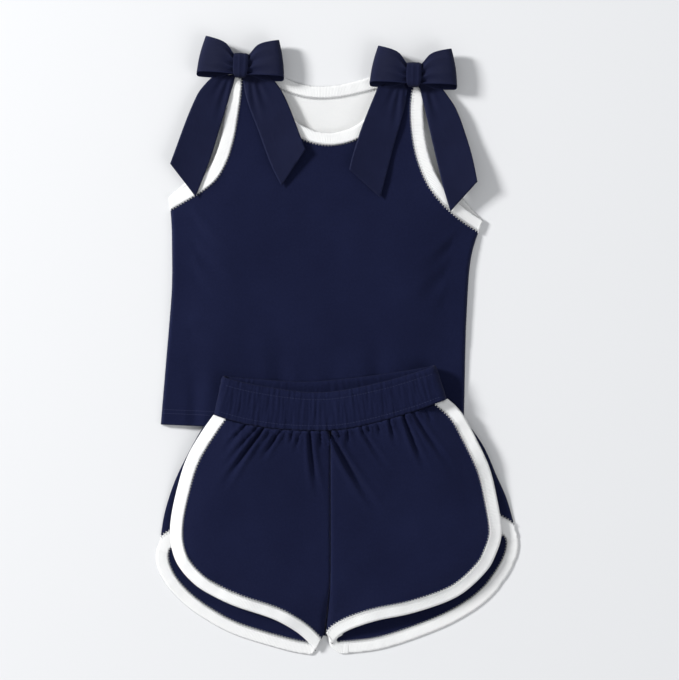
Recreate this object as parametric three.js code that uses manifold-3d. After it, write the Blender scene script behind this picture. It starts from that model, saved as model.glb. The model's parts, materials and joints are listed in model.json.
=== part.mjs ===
// Child's cheer uniform, laid flat: a sleeveless top with a ribbon bow on each shoulder, and
// dolphin shorts resting on the lower part of the top. Millimetres, +Z up, +Y towards the
// shoulders. Left and right are as the set lies, seen from above.

import * as THREE from 'three';
import { mergeVertices } from 'three/addons/utils/BufferGeometryUtils.js';
import Module from 'manifold-3d';

const wasm = await Module();
wasm.setup();

// Cloth
const KNIT = 1;             // thickness of the knit panels
const LINING = 0.6;         // thickness of the pale inside of the back bodice
const BINDING = 12.7;       // visible width of the folded binding
const BINDING_THICK = 1.8;  // the binding is folded double round the raw edge
const SEAM_GAP = 0.3;       // clearance between pieces that are sewn together
const STEP = 12;            // spacing of points along a curved edge
const CELL = 18;            // size of the facets across the curved front of the top
const LEG_CELL = 22;        // and across the shorts
const FLAT = 1000;          // one facet does for a flat one
const TALL = 50;            // cutting shapes reach this far above and below
const OVERRUN = 8;          // carry on past the ends of an edge
const OUTSIDE = 3;          // and this far outside it
const SIDEWAYS = 300;       // the half of the shorts beside the centre seam ends out here

// How the layers of the top stand apart
const LINING_Z = KNIT + SEAM_GAP;
const TOP_FRONT_Z = LINING_Z + LINING + SEAM_GAP;
const TOP_HEM_GAP = 4.4;    // the front stands this far off the back at the hem and the armholes
const TOP_LOFT = 5.5;       // and this much more at the middle of the body
const TOP_SOFT = 55;        // the front rises to that over this distance from a sewn edge
const BODY_FROM = [-40, 40];   // the body's middle begins and ends over these stretches of Y
const BODY_TO = [110, 220];

// How the layers of the shorts stand apart
const SHORTS_OVER_TOP = 8.2;  // the back of the shorts lies over the top's hem at this height
const SHORTS_FLOOR_Y = -185;  // and has come down to the floor here
const SHORTS_OVER_Y = -95;
const SHORTS_LAYER = 1.9;
const LEG_LOFT = 12;
const LEG_SOFT = 45;

// Waistband: a cloth tunnel round an elastic, one flattened ring
const WAIST_CLOTH = 1.2;
const ELASTIC = 1.6;
const WAIST_WALL = 2 * WAIST_CLOTH + ELASTIC + 2 * SEAM_GAP;
const WAIST_OPEN = 6;         // height of the waist opening between front and back
const WAIST_HALF = 112;
const WAIST_DEPTH = 39;
const WAIST_RADIUS = WAIST_WALL + WAIST_OPEN / 2;
const WAIST_ALONG = 14;       // facets along each side of the ring
const WAIST_TURN = 6;         // and round each end

// Ribbon bows: X runs along the bow, Y towards the neck end of the shoulder
const RIBBON = 0.9;
const BOW_BASE_Z = 6;
const KNOT = { width: 17, length: 26.4, height: 14.4, wall: 1, corner: 0.25 };
const BEND_STEPS = 4;       // facets in a quarter turn
const LOOP = {
  height: 12,
  facets: 10,
  root: 0.8,                  // starts this far from the middle of the bow
  pinch: 2,                   // half its height there
  swell: [[12, 0.6], [28, 1], [40, 0.86]],    // shares of half its height on the way out
  reach: 46,                  // ends here along the lower edge
  reachUpper: 38.5,           // and slants back to here along the upper edge
  closedFor: 4,               // pressed flat next to the knot
  lowerY: -9,
  upper: [[0, 10], [8.5, 10.5], [20, 22], [46, 29]],
};
const TACK = { width: 2.4, length: 9, y: 1.5 };
const TAIL_ABOVE_FRONT = BINDING_THICK + 1;
const BOWS = {
  left: { centre: [-101.5, 294.7], turn: -3.3 },
  right: { centre: [79.5, 285], turn: -2.3 },
};

// Edges of the top, counter-clockwise, so that the cloth is always on the left
const HEM = [[-186.5, -81.5], [-27, -88], [132.5, -94.5]];
const RIGHT_SIDE = [[132.5, -94.5], [133.5, -34.5], [135.5, 28.5], [140, 91.5], [152.5, 133.5]];
const RIGHT_ARM_FRONT = [
  [152.5, 133.5], [128.5, 150], [108, 173], [96, 201], [90.5, 232], [90.5, 260], [96, 287.5],
];
const RIGHT_ARM_BACK = [[152.5, 133.5], [129, 160], [112, 190], [102, 222], [98, 255], [96, 287.5]];
const NECK_FRONT = [
  [58, 290], [47.5, 263.5], [28, 239.5], [11, 229], [-9.5, 225], [-29, 229], [-46, 239.5],
  [-66, 270], [-77.5, 299],
];
const NECK_BACK = [[58, 290], [30, 283], [0, 276], [-30, 275.5], [-57, 284.5], [-77.5, 299]];
const LEFT_ARM_FRONT = [
  [-114, 297], [-115, 270], [-118.5, 243.5], [-122.5, 221.5], [-130, 198], [-143, 179.5],
  [-177.5, 158.5],
];
const LEFT_ARM_BACK = [
  [-114, 297], [-118, 272], [-127, 238], [-137.5, 207], [-153, 181], [-177.5, 158.5],
];
const LEFT_SIDE = [[-177.5, 158.5], [-175, 123], [-175, 60], [-180.5, -3], [-186.5, -81.5]];

// Edges of the shorts, counter-clockwise
const LEG_LEFT_SIDE = [
  [-130.5, -70.5], [-144.5, -89], [-165.5, -128], [-175.5, -152], [-183, -177.5], [-187, -203.5],
];
const LEG_LEFT_HEM = [
  [-187, -203.5], [-192, -219.5], [-188.5, -236], [-179, -253], [-163, -270], [-140.5, -286.5],
  [-108, -303.5], [-53.5, -320], [-28, -324.5],
];
const CROTCH = [[-28, -324.5], [-20, -314], [-13, -299], [-8, -312], [4, -323.5]];
const LEG_RIGHT_HEM = [
  [4, -323.5], [37.5, -320], [68, -312], [112.5, -295], [143, -278], [163, -261.5],
  [176, -244.5], [185.5, -228], [191, -209], [187, -192],
];
const LEG_RIGHT_SIDE = [[187, -192], [178, -160.5], [167, -135.5], [149.5, -98.5], [115, -54]];
const LEFT_FRONT_EDGE = [
  [-130, -70.5], [-144.5, -91.5], [-158.5, -116.5], [-167.5, -144], [-175, -177.5],
  [-176, -202.5], [-171, -222], [-162.5, -236], [-144.5, -253], [-111.5, -270], [-64.5, -286.5],
  [-38, -303.5], [-23.5, -320],
];
const RIGHT_FRONT_EDGE = [
  [-6, -313], [1.5, -303.5], [16, -295], [41, -286.5], [81, -278], [125.5, -261.5], [155, -236],
  [165.5, -218], [171, -202.5], [172, -188], [167.5, -160.5], [160, -129], [148.5, -103],
  [130.5, -69.5], [115, -54],
];
const LEFT_TUCK = [-168, -193];   // where each back binding tucks under the front binding
const RIGHT_TUCK = [169, -180];
const CENTRE_SEAM = [[-8, -40], [-8, -160], [-8, -240], [-13, -299], [-13, -340]];

// Edges of the waistband, left to right
const WAIST_TOP_FRONT = [[-121.5, -31.5], [-81.5, -41], [-18.5, -48], [44.5, -37.5], [103, -20]];
const WAIST_TOP_BACK = [[-121.5, -31.5], [-81.5, -34.5], [-29, -37], [44.5, -29.5], [103, -20]];
const WAIST_LOW_FRONT = [
  [-130, -70.5], [-104.5, -78], [-66, -85], [-18.5, -87], [18, -83.5], [71.5, -69.5],
  [114.5, -54],
];
const WAIST_LOW_BACK = [[-130, -70.5], [-75, -75.5], [-20, -76], [50, -68], [114.5, -54]];

// Ribbon tails: each outline runs from the root down one edge, across the slant cut and back up
const TAILS = {
  left_bow_outer_tail: {
    down: [[-131, 284.5], [-145.5, 268], [-157, 242.5], [-166.5, 217.5], [-175.5, 192]],
    up: [[-149, 157.5], [-135.5, 192], [-124.5, 226], [-114.5, 259.5], [-108.5, 280.5]],
  },
  left_bow_inner_tail: {
    down: [[-99.5, 280.5], [-95.5, 259.5], [-83, 226], [-70.5, 192], [-59, 168.5]],
    up: [[-34, 206.5], [-41, 226], [-50.5, 251], [-58.5, 268], [-67, 280.5]],
  },
  right_bow_inner_tail: {
    down: [[42.5, 274], [33, 251], [23.5, 226], [15.5, 200.5], [12, 186]],
    up: [[44.5, 156.5], [51.5, 184], [60.5, 217.5], [70, 251], [73, 270.5]],
  },
  right_bow_outer_tail: {
    down: [[86.5, 270.5], [91, 251], [96.5, 226], [102.5, 200.5], [110.5, 167], [118, 142]],
    up: [[146, 173], [140.5, 200.5], [133, 226], [123.5, 251], [108.5, 273]],
  },
};

const navyKnit = new THREE.MeshStandardMaterial({ color: 0x161b39, roughness: 0.85 });
const whiteKnit = new THREE.MeshStandardMaterial({ color: 0xf4f4f2, roughness: 0.85 });
const navyRibbon = new THREE.MeshStandardMaterial({ color: 0x171d3f, roughness: 0.5 });
const elasticWeb = new THREE.MeshStandardMaterial({ color: 0xe8e6df, roughness: 0.9 });
const navyThread = new THREE.MeshStandardMaterial({ color: 0x1c2244, roughness: 0.6 });

const { smoothstep, degToRad, lerp } = THREE.MathUtils;

// A smooth line through a few points
function curve(points) {
  return new THREE.SplineCurve(points.map(([x, y]) => new THREE.Vector2(x, y)));
}

// The same as evenly spaced points
function along(points) {
  const line = curve(points);
  return line.getSpacedPoints(Math.max(2, Math.round(line.getLength() / STEP)));
}

// The same line moved sideways, to the left of its direction
function moved(line, distance) {
  return line.map((point, i) => {
    const before = line[Math.max(i - 1, 0)];
    const after = line[Math.min(i + 1, line.length - 1)];
    const direction = after.clone().sub(before).normalize();
    return new THREE.Vector2(
      point.x - direction.y * distance,
      point.y + direction.x * distance,
    );
  });
}

// The line with each end carried straight on
function lengthened(line, extra) {
  const carried = (end, next) => end.clone().sub(next).setLength(extra).add(end);
  return [carried(line[0], line[1]), ...line, carried(line.at(-1), line.at(-2))];
}

// Lines joined end to end round an outline, without the points that they share
function joined(...lines) {
  const points = lines.flat();
  return points.filter((point, i) => point.distanceTo(points.at(i - 1)) > 0.5);
}

// Solids for cutting and joining, and back
function toSolid(geometry) {
  geometry.deleteAttribute('normal');
  geometry.deleteAttribute('uv');
  const merged = mergeVertices(geometry, 1e-4);
  return new wasm.Manifold(new wasm.Mesh({
    numProp: 3,
    vertProperties: Float32Array.from(merged.attributes.position.array),
    triVerts: Uint32Array.from(merged.index.array),
  }));
}

function toGeometry(solid) {
  const { vertProperties, triVerts } = solid.getMesh();
  const geometry = new THREE.BufferGeometry();
  geometry.setAttribute('position', new THREE.BufferAttribute(vertProperties, 3));
  geometry.setIndex(new THREE.BufferAttribute(triVerts, 1));
  return geometry;
}

// An upright block with the plan of an outline, taller than everything
function block(outline) {
  const geometry = new THREE.ExtrudeGeometry(new THREE.Shape(outline), {
    depth: 2 * TALL, bevelEnabled: false,
  });
  return toSolid(geometry.translate(0, 0, -TALL));
}

// The block over a band of cloth along an edge, which runs on past the ends and outwards
function edgeBlock(line, width) {
  const long = lengthened(line, OVERRUN);
  return block([...moved(long, -OUTSIDE), ...moved(long, width).reverse()]);
}

// A sheet of cloth over a rectangle, each point at the height that the layer lies at there
function sheet(low, high, thickness, under, cell) {
  const size = new THREE.Vector2(high[0] - low[0], high[1] - low[1]);
  const columns = Math.ceil(size.x / cell);
  const rows = Math.ceil(size.y / cell);
  const geometry = new THREE.BoxGeometry(size.x, size.y, thickness, columns, rows, 1);
  geometry.translate(low[0] + size.x / 2, low[1] + size.y / 2, thickness / 2);
  const position = geometry.attributes.position;
  for (let i = 0; i < position.count; i += 1) {
    const lift = under(position.getX(i), position.getY(i));
    position.setZ(i, position.getZ(i) + lift);
  }
  return toSolid(geometry);
}

function named(name, geometry, material) {
  const mesh = new THREE.Mesh(geometry, material);
  mesh.name = name;
  return mesh;
}

function distanceTo(lines, x, y) {
  const point = new THREE.Vector3(x, y, 0);
  const nearest = new THREE.Vector3();
  let least = Infinity;
  for (const line of lines) {
    for (let i = 1; i < line.length; i += 1) {
      const from = new THREE.Vector3(line[i - 1].x, line[i - 1].y, 0);
      const to = new THREE.Vector3(line[i].x, line[i].y, 0);
      new THREE.Line3(from, to).closestPointToPoint(point, true, nearest);
      least = Math.min(least, nearest.distanceTo(point));
    }
  }
  return least;
}

// ---- The top ----

const sides = [along(LEFT_SIDE), along(RIGHT_SIDE)];
const shoulders = [
  [LEFT_ARM_FRONT[0], NECK_FRONT.at(-1)],
  [RIGHT_ARM_FRONT.at(-1), NECK_FRONT[0]],
].map((ends) => ends.map(([x, y]) => new THREE.Vector2(x, y)));

// Underside of the front bodice: down at the side and shoulder seams, loose between them
function topFrontUnder(x, y) {
  const middle = smoothstep(y, ...BODY_FROM) * (1 - smoothstep(y, ...BODY_TO));
  const free = smoothstep(distanceTo([...sides, ...shoulders], x, y), 0, TOP_SOFT);
  return TOP_FRONT_Z + free * (TOP_HEM_GAP + TOP_LOFT * middle);
}

const TOP_LOW = [-200, -110];
const TOP_HIGH = [165, 310];

function topOutline(rightArm, neck, leftArm) {
  return joined(along(HEM), sides[1], along(rightArm), along(neck), along(leftArm), sides[0]);
}

// One bodice layer and the bindings on its free edges, cut from the same lie of the cloth
function bodice(outline, edges, under, cell) {
  const whole = block(outline);
  const layer = sheet(TOP_LOW, TOP_HIGH, KNIT, under, cell);
  const bands = sheet(TOP_LOW, TOP_HIGH, BINDING_THICK, under, cell);
  let panel = whole;
  const strips = Object.entries(edges).map(([name, edge]) => {
    panel = panel.subtract(edgeBlock(along(edge), BINDING + SEAM_GAP));
    const strip = whole.intersect(edgeBlock(along(edge), BINDING)).intersect(bands);
    return named(name, toGeometry(strip), whiteKnit);
  });
  return { panel, cloth: panel.intersect(layer), strips };
}

function topFront() {
  const outline = topOutline(RIGHT_ARM_FRONT, NECK_FRONT, LEFT_ARM_FRONT);
  const edges = {
    front_neck_binding: NECK_FRONT,
    left_armhole_front_binding: LEFT_ARM_FRONT,
    right_armhole_front_binding: RIGHT_ARM_FRONT,
  };
  const { cloth, strips } = bodice(outline, edges, topFrontUnder, CELL);
  return [named('top_front_panel', toGeometry(cloth), navyKnit), ...strips];
}

function topBack() {
  const outline = topOutline(RIGHT_ARM_BACK, NECK_BACK, LEFT_ARM_BACK);
  const edges = {
    back_neck_binding: NECK_BACK,
    left_armhole_back_binding: LEFT_ARM_BACK,
    right_armhole_back_binding: RIGHT_ARM_BACK,
  };
  const { panel, cloth, strips } = bodice(outline, edges, () => 0, FLAT);
  const lining = panel.intersect(sheet(TOP_LOW, TOP_HIGH, LINING, () => LINING_Z, FLAT));
  return [
    named('top_back_panel', toGeometry(cloth), navyKnit),
    named('top_back_lining', toGeometry(lining), whiteKnit),
    ...strips,
  ];
}

// ---- The bows ----

// Turns each loose triangle over
function turnedOver(position) {
  const a = new THREE.Vector3();
  const b = new THREE.Vector3();
  for (let i = 0; i < position.count; i += 3) {
    a.fromBufferAttribute(position, i + 1);
    b.fromBufferAttribute(position, i + 2);
    position.setXYZ(i + 1, ...b.toArray());
    position.setXYZ(i + 2, ...a.toArray());
  }
}

// Half of the bow: a ribbon loop, pinched at the knot and open at its end, side -1 or 1
function bowLoop(side) {
  const half = LOOP.height / 2;
  const profile = (inset) => curve([
    [LOOP.root, LOOP.pinch - inset],
    ...LOOP.swell.map(([x, share]) => [x, half * share - inset]),
    [LOOP.reach - inset, 0],
  ]).getPoints(LOOP.facets);
  const closed = (upper) => [
    ...upper.map((p) => new THREE.Vector2(p.x, -p.y)),
    ...upper.slice(0, -1).reverse(),
  ];
  const shape = new THREE.Shape(closed(profile(0)));
  const inner = closed(profile(RIBBON)).filter((p) => p.x > LOOP.root + LOOP.closedFor);
  shape.holes.push(new THREE.Path(inner));
  const geometry = new THREE.ExtrudeGeometry(shape, { depth: 1, bevelEnabled: false });
  const upperEdge = curve(LOOP.upper);
  const position = geometry.attributes.position;
  for (let i = 0; i < position.count; i += 1) {
    const x = position.getX(i);
    const across = position.getZ(i);
    const top = upperEdge.getPoint(Math.min(x / LOOP.reach, 1)).y;
    const stretch = lerp(1, LOOP.reachUpper / LOOP.reach, across);
    position.setXYZ(i, side * x * stretch, lerp(LOOP.lowerY, top, across), position.getY(i));
  }
  if (side > 0) turnedOver(position);
  return geometry.translate(0, 0, BOW_BASE_Z + KNOT.height / 2);
}

// The wrap round the middle of the bow: a flat tube that the loops' ends lie in
function bowKnot() {
  const ring = (length, height) => {
    const path = new THREE.Path();
    const corner = Math.min(length, height) * KNOT.corner;
    const x = length / 2;
    const y = height / 2;
    path.absarc(x - corner, y - corner, corner, 0, Math.PI / 2);
    path.absarc(corner - x, y - corner, corner, Math.PI / 2, Math.PI);
    path.absarc(corner - x, corner - y, corner, Math.PI, 1.5 * Math.PI);
    path.absarc(x - corner, corner - y, corner, 1.5 * Math.PI, 2 * Math.PI);
    return path;
  };
  const shape = new THREE.Shape(ring(KNOT.length, KNOT.height).getPoints(BEND_STEPS));
  shape.holes.push(ring(KNOT.length - 2 * KNOT.wall, KNOT.height - 2 * KNOT.wall));
  const geometry = new THREE.ExtrudeGeometry(shape, {
    depth: KNOT.width, bevelEnabled: false, curveSegments: BEND_STEPS,
  });
  geometry.translate(0, 0, -KNOT.width / 2).rotateX(Math.PI / 2).rotateZ(Math.PI / 2);
  return geometry.translate(0, 0, BOW_BASE_Z + KNOT.height / 2);
}

// The bar of thread under the knot that holds the bow to the strap
function bowTack() {
  const above = TOP_FRONT_Z + BINDING_THICK + 3 * SEAM_GAP;
  const height = BOW_BASE_Z - SEAM_GAP - above;
  const middle = above + height / 2;
  return new THREE.BoxGeometry(TACK.width, TACK.length, height).translate(0, TACK.y, middle);
}

function bow(side, { centre, turn }) {
  const group = new THREE.Group();
  const outward = side === 'left' ? -1 : 1;
  group.add(
    named(`${side}_bow_outer_loop`, bowLoop(outward), navyRibbon),
    named(`${side}_bow_inner_loop`, bowLoop(-outward), navyRibbon),
    named(`${side}_bow_knot`, bowKnot(), navyRibbon),
    named(`${side}_bow_tack`, bowTack(), navyThread),
  );
  group.position.set(centre[0], centre[1], 0);
  group.rotation.z = degToRad(turn);
  return group;
}

// The ribbon tails lie on the front of the top, just below the knots
function bowTails() {
  const under = (x, y) => topFrontUnder(x, y) + TAIL_ABOVE_FRONT;
  const layer = sheet(TOP_LOW, TOP_HIGH, RIBBON, under, CELL);
  return Object.entries(TAILS).map(([name, { down, up }]) => {
    const outline = joined(along(down), along(up));
    return named(name, toGeometry(layer.intersect(block(outline))), navyRibbon);
  });
}

// ---- The shorts ----

const SHORTS_LOW = [-200, -330];
const SHORTS_HIGH = [200, -44];
const shortsSeams = [LEG_LEFT_SIDE, LEG_LEFT_HEM, CROTCH, LEG_RIGHT_HEM, LEG_RIGHT_SIDE]
  .map((edge) => along(edge));

function shortsBackUnder(x, y) {
  return SHORTS_OVER_TOP * smoothstep(y, SHORTS_FLOOR_Y, SHORTS_OVER_Y);
}

function shortsFrontUnder(x, y) {
  const free = smoothstep(distanceTo(shortsSeams, x, y), 0, LEG_SOFT);
  return shortsBackUnder(x, y) + SHORTS_LAYER + LEG_LOFT * free;
}

// Front or back of the shorts: two panels joined at the centre seam, and a binding on each leg
function shortsLayer(layerName, outline, edges, under) {
  const whole = block(outline);
  const layer = sheet(SHORTS_LOW, SHORTS_HIGH, KNIT, under, LEG_CELL);
  const bands = sheet(SHORTS_LOW, SHORTS_HIGH, BINDING_THICK, under, LEG_CELL);
  const seam = along(CENTRE_SEAM);
  const out = (x) => [new THREE.Vector2(x, seam.at(-1).y), new THREE.Vector2(x, seam[0].y)];
  const side = {
    left: block([...seam, ...out(-SIDEWAYS)]),
    right: block([...moved(seam, SEAM_GAP), ...out(SIDEWAYS)].reverse()),
  };
  const meshes = [];
  for (const [name, edge] of Object.entries(edges)) {
    const ownSide = whole.intersect(side[name]);
    const panel = ownSide.subtract(edgeBlock(edge, BINDING + SEAM_GAP)).intersect(layer);
    const strip = ownSide.intersect(edgeBlock(edge, BINDING)).intersect(bands);
    meshes.push(named(`shorts_${layerName}_${name}`, toGeometry(panel), navyKnit));
    meshes.push(named(`${name}_leg_${layerName}_binding`, toGeometry(strip), whiteKnit));
  }
  return meshes;
}

function belowWaist(edge) {
  return along(edge).map((p) => new THREE.Vector2(p.x, p.y - SEAM_GAP)).reverse();
}

function shortsFront() {
  const left = along(LEFT_FRONT_EDGE);
  const right = along(RIGHT_FRONT_EDGE);
  const crotch = CROTCH.slice(2, 3).map(([x, y]) => new THREE.Vector2(x, y));
  const outline = joined(left, crotch, right, belowWaist(WAIST_LOW_FRONT));
  return shortsLayer('front', outline, { left, right }, shortsFrontUnder);
}

function shortsBack() {
  const outline = joined(...shortsSeams, belowWaist(WAIST_LOW_BACK));
  const left = along([LEFT_TUCK, ...LEG_LEFT_HEM]);
  const right = along([...LEG_RIGHT_HEM, RIGHT_TUCK]);
  return shortsLayer('back', outline, { left, right }, shortsBackUnder);
}

const waistTop = [curve(WAIST_TOP_BACK), curve(WAIST_TOP_FRONT)];
const waistLow = [curve(WAIST_LOW_BACK), curve(WAIST_LOW_FRONT)];

// Where a point of the straight ring comes to lie when the ring is bent to the waistband's
// edges. Lift is its height from the ring's middle, -1 on the back to 1 on the front.
function laidRound(x, lift, r, depth) {
  const share = (x / WAIST_HALF + 1) / 2;
  const front = (lift + 1) / 2;
  const between = ([back, fore]) => back.getPointAt(share).lerp(fore.getPointAt(share), front);
  const place = between(waistTop).lerp(between(waistLow), depth / WAIST_DEPTH);
  return [place.x, place.y, SHORTS_OVER_TOP + WAIST_RADIUS + lift * r];
}

// Once round the waist, at an inset from the outer face and a depth below the top edge
function waistTrack(inset, depth) {
  const straight = WAIST_HALF - WAIST_RADIUS;
  const r = WAIST_RADIUS - inset;
  const side = Array.from({ length: WAIST_ALONG + 1 }, (_, i) => [
    lerp(straight, -straight, i / WAIST_ALONG), 1,
  ]);
  const end = Array.from({ length: WAIST_TURN - 1 }, (_, i) => {
    const angle = Math.PI / 2 + Math.PI * (i + 1) / WAIST_TURN;
    return [r * Math.cos(angle) - straight, Math.sin(angle)];
  });
  const half = [...side, ...end];
  const whole = [...half, ...half.map(([x, lift]) => [-x, -lift])];
  return whole.map(([x, lift]) => laidRound(x, lift, r, depth));
}

// A ring of cloth round the waist, between two insets and two depths
function waistRing(outer, inner, from, to) {
  const tracks = [
    waistTrack(outer, from), waistTrack(outer, to), waistTrack(inner, to), waistTrack(inner, from),
  ];
  const count = tracks[0].length;
  const index = tracks.flatMap((track, k) => {
    const near = k * count;
    const far = ((k + 1) % tracks.length) * count;
    return track.flatMap((_, i) => {
      const next = (i + 1) % count;
      return [near + i, near + next, far + next, near + i, far + next, far + i];
    });
  });
  const geometry = new THREE.BufferGeometry();
  geometry.setAttribute('position', new THREE.Float32BufferAttribute(tracks.flat(2), 3));
  geometry.setIndex(index);
  return toSolid(geometry);
}

function waistband() {
  const cloth = WAIST_CLOTH;
  const clear = cloth + SEAM_GAP;
  const tunnel = waistRing(cloth, WAIST_WALL - cloth, cloth, WAIST_DEPTH + 1);
  const casing = waistRing(0, WAIST_WALL, 0, WAIST_DEPTH).subtract(tunnel);
  const elastic = waistRing(clear, WAIST_WALL - clear, clear, WAIST_DEPTH - 1);
  return [
    named('waistband_casing', toGeometry(casing), navyKnit),
    named('waistband_elastic', toGeometry(elastic), elasticWeb),
  ];
}

// ---- The set ----

const uniform = new THREE.Group();
uniform.add(...topBack(), ...topFront(), ...bowTails());
for (const [side, place] of Object.entries(BOWS)) {
  uniform.add(bow(side, place));
}
uniform.add(...shortsBack(), ...shortsFront(), ...waistband());

// The origin is on the surface under the middle of the whole set
const extent = new THREE.Box3().setFromObject(uniform, true);
const middle = extent.getCenter(new THREE.Vector3());
uniform.position.set(-middle.x, -middle.y, 0);

export default uniform;
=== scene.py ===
import json
import math

import bmesh
import bpy
import numpy as np
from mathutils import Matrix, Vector, kdtree, noise
from mathutils.bvhtree import BVHTree
from mathutils.geometry import delaunay_2d_cdt

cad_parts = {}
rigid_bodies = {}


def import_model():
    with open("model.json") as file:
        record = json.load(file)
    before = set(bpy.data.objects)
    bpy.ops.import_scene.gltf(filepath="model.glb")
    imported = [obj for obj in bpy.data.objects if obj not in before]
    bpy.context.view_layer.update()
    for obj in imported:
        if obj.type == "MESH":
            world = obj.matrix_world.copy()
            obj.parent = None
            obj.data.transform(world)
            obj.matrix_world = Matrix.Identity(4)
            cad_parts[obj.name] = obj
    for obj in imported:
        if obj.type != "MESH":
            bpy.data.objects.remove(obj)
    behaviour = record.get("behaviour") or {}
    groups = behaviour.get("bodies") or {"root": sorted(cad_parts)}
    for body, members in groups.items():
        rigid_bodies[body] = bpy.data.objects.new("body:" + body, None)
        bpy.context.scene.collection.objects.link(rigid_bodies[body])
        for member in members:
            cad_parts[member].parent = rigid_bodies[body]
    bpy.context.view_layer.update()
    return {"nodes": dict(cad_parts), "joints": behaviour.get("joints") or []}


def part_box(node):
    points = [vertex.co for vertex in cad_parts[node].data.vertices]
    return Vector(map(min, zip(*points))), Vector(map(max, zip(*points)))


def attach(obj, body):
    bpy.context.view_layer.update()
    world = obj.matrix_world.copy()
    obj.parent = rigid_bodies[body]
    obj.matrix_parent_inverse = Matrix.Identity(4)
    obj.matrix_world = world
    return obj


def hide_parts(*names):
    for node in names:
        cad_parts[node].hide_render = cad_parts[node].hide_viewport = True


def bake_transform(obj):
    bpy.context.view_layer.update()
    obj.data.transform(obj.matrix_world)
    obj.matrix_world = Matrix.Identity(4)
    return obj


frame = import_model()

MM = 0.001


# ---- Studio table ----
# The set lies flat on a pale studio table, front up, the shorts over the hem of the top. The
# camera looks straight down from two metres, with one broad lamp on the left and a weak one
# opposite, so that folds in dark cloth show by their shaded side.
LENS = 100 * MM
SENSOR = 36 * MM
VIEW_WIDTH = 713 * MM
view_middle = Vector((2.3, 6.7, 10)) * MM


def placed(name, data):
    """A new object in the scene."""
    item = bpy.data.objects.new(name, data)
    bpy.context.scene.collection.objects.link(item)
    return item


def table_top():
    mesh = bpy.data.meshes.new("studio_table")
    half = 6
    corners = [(-half, -half), (half, -half), (half, half), (-half, half)]
    mesh.from_pydata([(x, y, -0.2 * MM) for x, y in corners], [], [(0, 1, 2, 3)])
    table = placed("studio_table", mesh)
    paint = bpy.data.materials.new("table_paint")
    paint.use_nodes = True
    shader = paint.node_tree.nodes["Principled BSDF"]
    shader.inputs["Base Color"].default_value = (0.74, 0.745, 0.755, 1)
    shader.inputs["Roughness"].default_value = 0.9
    shader.inputs["Specular IOR Level"].default_value = 0.15
    mesh.materials.append(paint)


def lamp(name, place, size, power):
    light = bpy.data.lights.new(name, "AREA")
    light.size = size
    light.energy = power
    holder = placed(name, light)
    holder.location = place
    holder.rotation_mode = "QUATERNION"
    holder.rotation_quaternion = (-Vector(place)).to_track_quat("-Z", "Y")


def studio():
    table_top()
    lamp("key_lamp", (-3.9, 1.7, 2.3), 0.9, 300)
    lamp("fill_lamp", (2.4, -1.6, 2.4), 2.2, 34)
    world = bpy.data.worlds.new("studio_air")
    world.use_nodes = True
    sky = world.node_tree.nodes["Background"].inputs
    sky["Color"].default_value = (0.95, 0.97, 1, 1)
    sky["Strength"].default_value = 0.44
    bpy.context.scene.world = world
    bpy.context.scene.view_settings.view_transform = "Standard"
    camera = bpy.data.cameras.new("overhead_camera")
    camera.lens = LENS / MM
    camera.sensor_width = SENSOR / MM
    camera.clip_end = 20
    overhead = placed("overhead_camera", camera)
    overhead.location = view_middle + Vector((0, 0, VIEW_WIDTH * LENS / SENSOR))
    bpy.context.scene.camera = overhead


studio()


# ---- Bindings of the top ----
# Strips of ribbed white knit, folded double over the raw edges of the neck and armholes and
# sewn down along the inner edge. Front and back are bound before the bodice is seamed.
SHARP = math.radians(33)       # a bend tighter than this is a true corner
BACK_BINDINGS = ["back_neck_binding", "left_armhole_back_binding", "right_armhole_back_binding"]
FRONT_BINDINGS = ["front_neck_binding", "left_armhole_front_binding",
                  "right_armhole_front_binding"]
BINDING_CLOTH = 0.45 * MM
BINDING_WIDTH = 12.7 * MM
BINDING_LAYERS = 1.8 * MM
FOLD_ROUND = 2 * MM            # how far in from its fold the strip is rounded
SEWN_ROW = 1.1 * MM            # the groove that the stitches pull, from the sewn edge
GROOVE_WIDTH = 1.2 * MM
PUCKER = 0.22 * MM
STITCH_LIFT = 0.35 * MM


def bends(rim):
    """The angle turned at each point of an outline."""
    before = rim - np.roll(rim, 1, axis=0)
    after = np.roll(rim, -1, axis=0) - rim
    cross = before[:, 0] * after[:, 1] - before[:, 1] * after[:, 0]
    return np.arctan2(cross, (before * after).sum(axis=1))


def trimmed(rim):
    """The outline without doubled points, slits and points along straight runs."""
    while True:
        gap = np.linalg.norm(rim - np.roll(rim, 1, axis=0), axis=1)
        turn = np.abs(bends(rim))
        drop = (gap < 0.6 * MM) | (turn < math.radians(1)) | (turn > math.radians(168))
        drop &= ~np.roll(drop, 1)
        if not drop.any():
            return rim
        rim = rim[~drop]


def enclosed(rim):
    """The area inside an outline, positive when it runs counter-clockwise."""
    x, y = rim.T
    return 0.5 * float((x * np.roll(y, -1) - y * np.roll(x, -1)).sum())


def plan_of(node, side=1):
    """The outline of a part from above (side 1) or below (side -1), counter-clockwise."""
    work = bmesh.new()
    work.from_mesh(frame["nodes"][node].data)
    bmesh.ops.remove_doubles(work, verts=work.verts, dist=0.005 * MM)
    work.normal_update()
    onward = {}
    for face in work.faces:
        if face.normal.z * side <= 0.5:
            continue
        for corner in face.loops:
            if corner.link_loop_radial_next.face.normal.z * side <= 0.5:
                onward[corner.vert] = corner.link_loop_next.vert
    rims = []
    while onward:
        start, at = onward.popitem()
        rim = [start.co.xy[:]]
        while at in onward:
            rim.append(at.co.xy[:])
            at = onward.pop(at)
        rims.append(np.array(rim))
    work.free()
    rim = max(rims, key=lambda each: abs(enclosed(each)))
    return trimmed(rim if enclosed(rim) > 0 else rim[::-1])


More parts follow.
